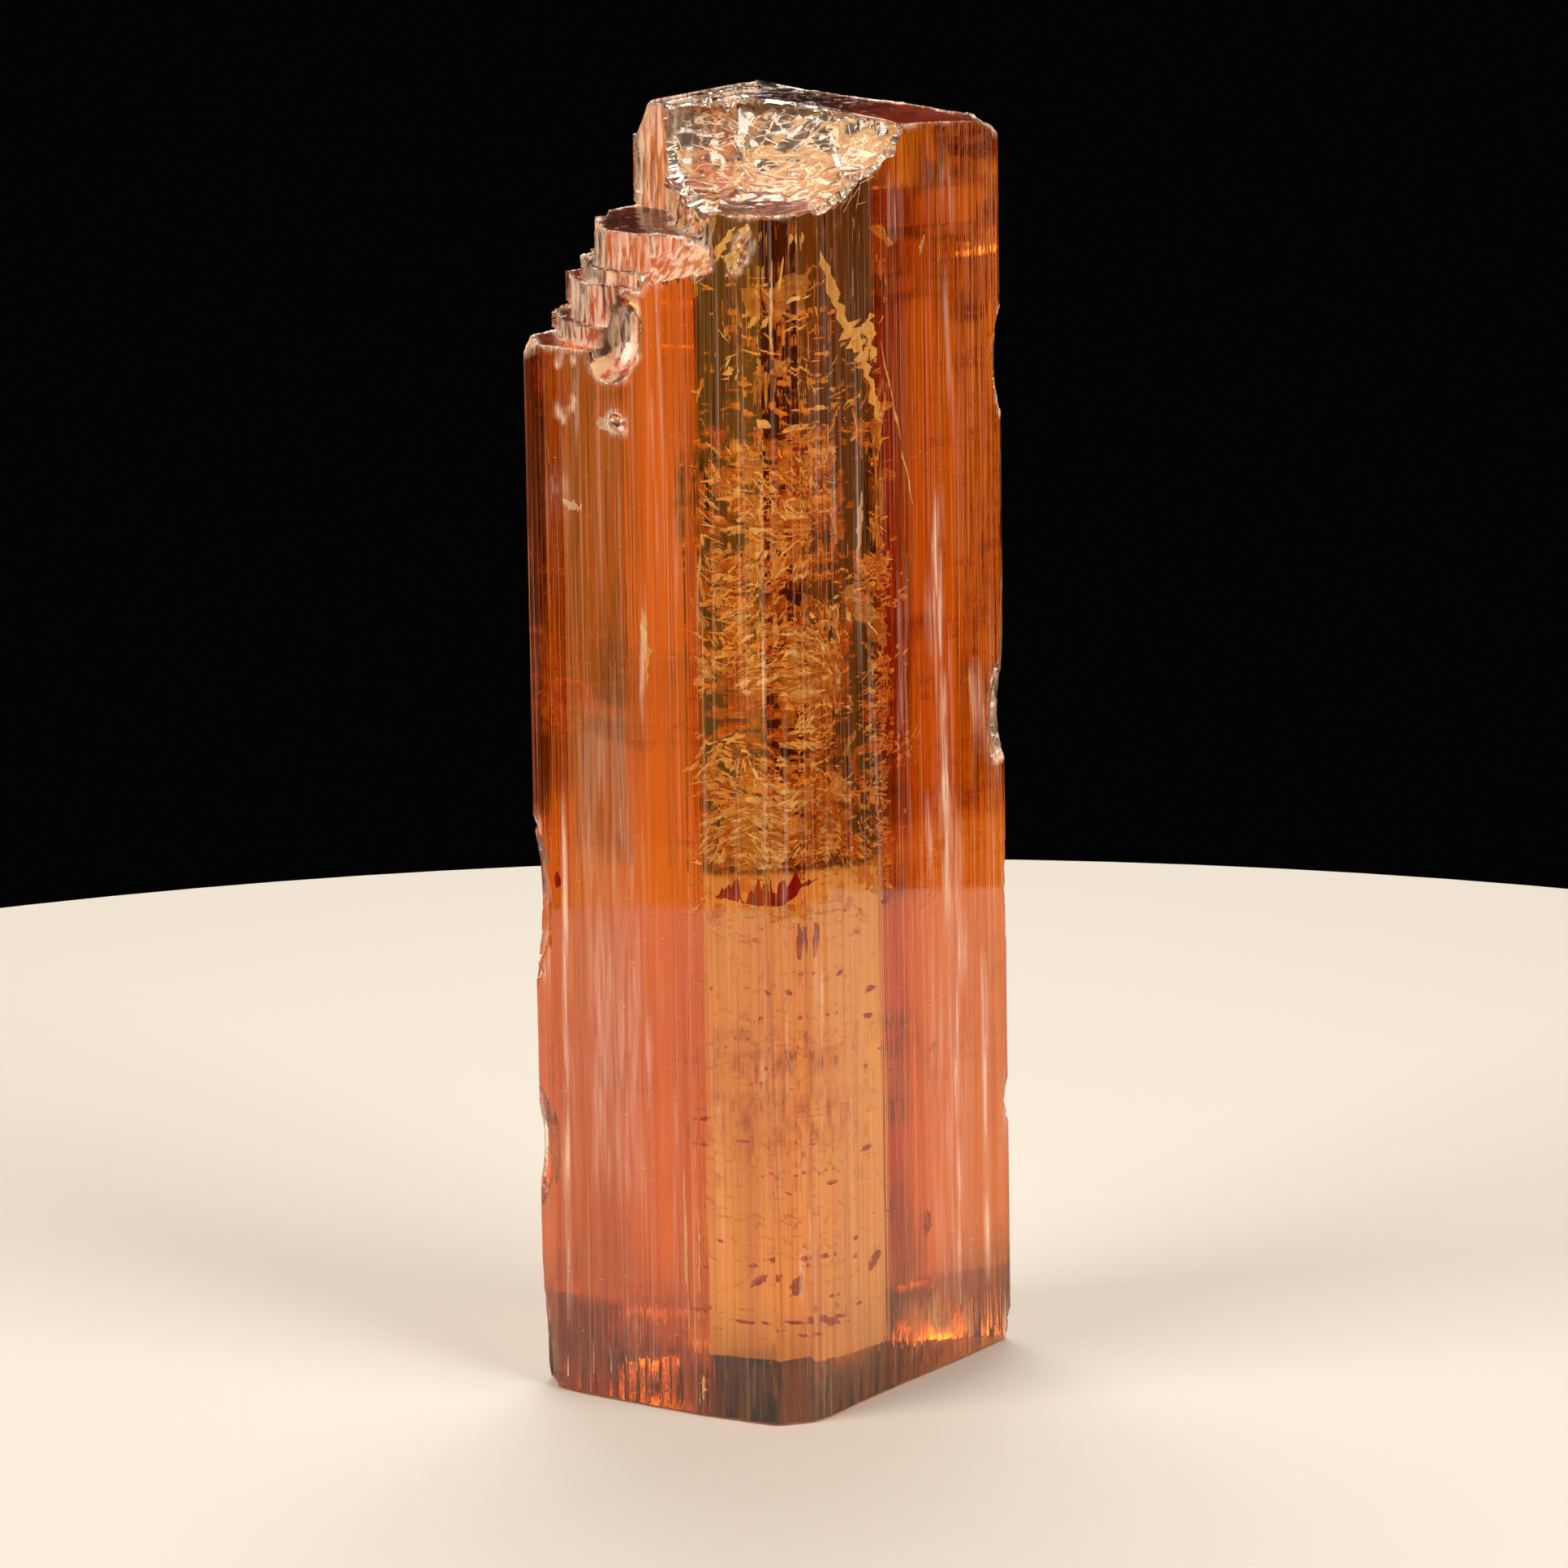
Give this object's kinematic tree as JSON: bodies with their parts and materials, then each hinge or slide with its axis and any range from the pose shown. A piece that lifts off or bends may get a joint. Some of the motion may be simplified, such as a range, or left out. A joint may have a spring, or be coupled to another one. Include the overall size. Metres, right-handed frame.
{
  "type": "topaz crystal",
  "caption": "Orange, see-through gem crystal: a striated natural prism on a flat cleaved base, its top broken into steps and a shell-shaped hollow. Display or study specimen.",
  "frame": {"origin": "middle of the crystal's bounding box, on the plane of the flat cleaved base", "axes": "+Z along the crystal's long axis, away from the base; -Y towards the rounded near edge of the prism; -X towards the stepped side of the top"},
  "size_m": [0.0166, 0.0126, 0.0448],
  "materials": {
    "topaz": "clear orange gem, glossy faces with fine lengthwise growth lines, rough on the broken edges"
  },
  "bodies": {
    "root": {"topaz_crystal": "topaz"}
  },
  "joints": []
}
